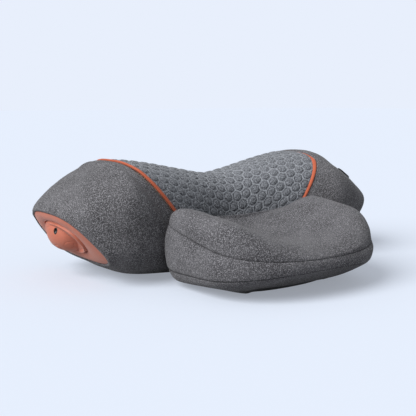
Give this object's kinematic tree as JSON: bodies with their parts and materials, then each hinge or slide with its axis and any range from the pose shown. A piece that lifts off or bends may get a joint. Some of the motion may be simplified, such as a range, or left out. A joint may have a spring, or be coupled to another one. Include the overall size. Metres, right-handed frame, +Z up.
{
  "type": "cervical traction pillow",
  "caption": "Saddle-shaped heated neck roll with air-cell traction and a lift-out oval controller in one end, and a low kidney-shaped head cushion in front of it.",
  "frame": {"origin": "on the floor under the middle of the neck roll", "axes": "+X along the roll away from the controller, -Y towards the head cushion, +Z up"},
  "size_m": [0.4127, 0.2955, 0.1229],
  "materials": {
    "foam": "open-cell foam",
    "hex_knit": "embossed spacer knit",
    "roll_fabric": "heathered knit",
    "cushion_fabric": "heathered knit",
    "coral_piping": "soft matte",
    "grip_rubber": "textured",
    "tag_fabric": "woven",
    "coral_silicone": "soft-touch matte",
    "dark_plastic": "fine texture",
    "black_plastic": "smooth",
    "circuit_board": "solder mask",
    "brass": "plated",
    "steel": "brushed",
    "white_plastic": "moulded",
    "hose_vinyl": "soft vinyl",
    "air_cell_film": "coated film",
    "heating_sheet": "polyimide sheet",
    "wire_jacket": "matte",
    "battery_wrap": "shrink wrap",
    "pale_button": "satin",
    "lens": "clear satin",
    "zip_fabric": "woven tape"
  },
  "bodies": {
    "neck_roll": {"roll_core_base": "foam", "roll_core_top": "foam", "centre_cover": "hex_knit", "left_end_cover": "roll_fabric", "right_end_cover": "roll_fabric", "left_piping": "coral_piping", "right_piping": "coral_piping", "base_panel": "grip_rubber", "side_tab": "tag_fabric", "end_panel": "coral_silicone", "dock_tub": "dark_plastic", "dock_board": "circuit_board", "dock_contacts": "brass", "dock_magnets": "steel", "dock_screws": "steel", "driver_board": "circuit_board", "board_components": "dark_plastic", "pump_motor": "steel", "pump_head": "dark_plastic", "valve_body": "white_plastic", "air_manifold": "white_plastic", "air_hoses": "hose_vinyl", "air_cell_lower": "air_cell_film", "air_cell_upper": "air_cell_film", "heating_film": "heating_sheet", "thermal_cutoff": "steel", "vibration_motor_left": "steel", "vibration_motor_right": "steel", "wiring_harness": "wire_jacket"},
    "power_button": {"power_button": "pale_button"},
    "mode_button": {"mode_button": "coral_silicone"},
    "heat_button": {"heat_button": "coral_silicone"},
    "pump_rotor": {"pump_eccentric": "brass"},
    "valve_plunger": {"valve_plunger": "steel"},
    "weight_left": {"eccentric_weight_left": "brass"},
    "weight_right": {"eccentric_weight_right": "brass"},
    "controller": {"controller_shell": "coral_silicone", "controller_frame": "dark_plastic", "controller_back": "dark_plastic", "controller_pcb": "circuit_board", "controller_battery": "battery_wrap", "controller_screws": "steel", "button_switches": "dark_plastic", "status_lens": "lens", "charging_jack": "black_plastic", "contact_pins": "brass", "controller_magnets": "steel"},
    "cushion": {"cushion_core": "foam", "cushion_top_cover": "cushion_fabric", "cushion_border": "cushion_fabric", "cushion_base": "cushion_fabric", "cushion_zip_tape": "zip_fabric"},
    "zip_slider": {"cushion_zip_slider": "steel"},
    "zip_pull": {"cushion_zip_pull": "steel"}
  },
  "joints": [
    {"name": "cushion_slide", "type": "slide", "parent": "neck_roll", "child": "cushion", "axis": [0, -1, 0], "range_m": [0, 0.15]},
    {"name": "controller_release", "type": "slide", "parent": "neck_roll", "child": "controller", "axis": [-0.766, 0, -0.6428], "range_m": [0, 0.05], "stiffness_N_per_m": 400},
    {"name": "power_press", "type": "slide", "parent": "controller", "child": "power_button", "axis": [0.766, 0, 0.6428], "range_m": [0, 0.0012], "stiffness_N_per_m": 300},
    {"name": "mode_press", "type": "slide", "parent": "controller", "child": "mode_button", "axis": [0.766, 0, 0.6428], "range_m": [0, 0.0012], "stiffness_N_per_m": 300},
    {"name": "heat_press", "type": "slide", "parent": "controller", "child": "heat_button", "axis": [0.766, 0, 0.6428], "range_m": [0, 0.0012], "stiffness_N_per_m": 300},
    {"name": "pump_spin", "type": "hinge", "parent": "neck_roll", "child": "pump_rotor", "pos_m": [-0.109, -0.018, 0.044], "axis": [1, 0, 0], "continuous": true},
    {"name": "valve_stroke", "type": "slide", "parent": "neck_roll", "child": "valve_plunger", "axis": [1, 0, 0], "range_m": [0, 0.0015], "stiffness_N_per_m": 200},
    {"name": "left_weight_spin", "type": "hinge", "parent": "neck_roll", "child": "weight_left", "pos_m": [-0.0335, 0, 0.082], "axis": [1, 0, 0], "continuous": true},
    {"name": "right_weight_spin", "type": "hinge", "parent": "neck_roll", "child": "weight_right", "pos_m": [0.0505, 0, 0.082], "axis": [1, 0, 0], "continuous": true},
    {"name": "zip_travel", "type": "slide", "parent": "cushion", "child": "zip_slider", "axis": [1, 0, 0], "range_m": [0, 0.058]},
    {"name": "zip_pull_swing", "type": "hinge", "parent": "zip_slider", "child": "zip_pull", "pos_m": [-0.052, -0.148, 0.0009], "axis": [0, 1, 0], "range_deg": [0, 120]}
  ]
}
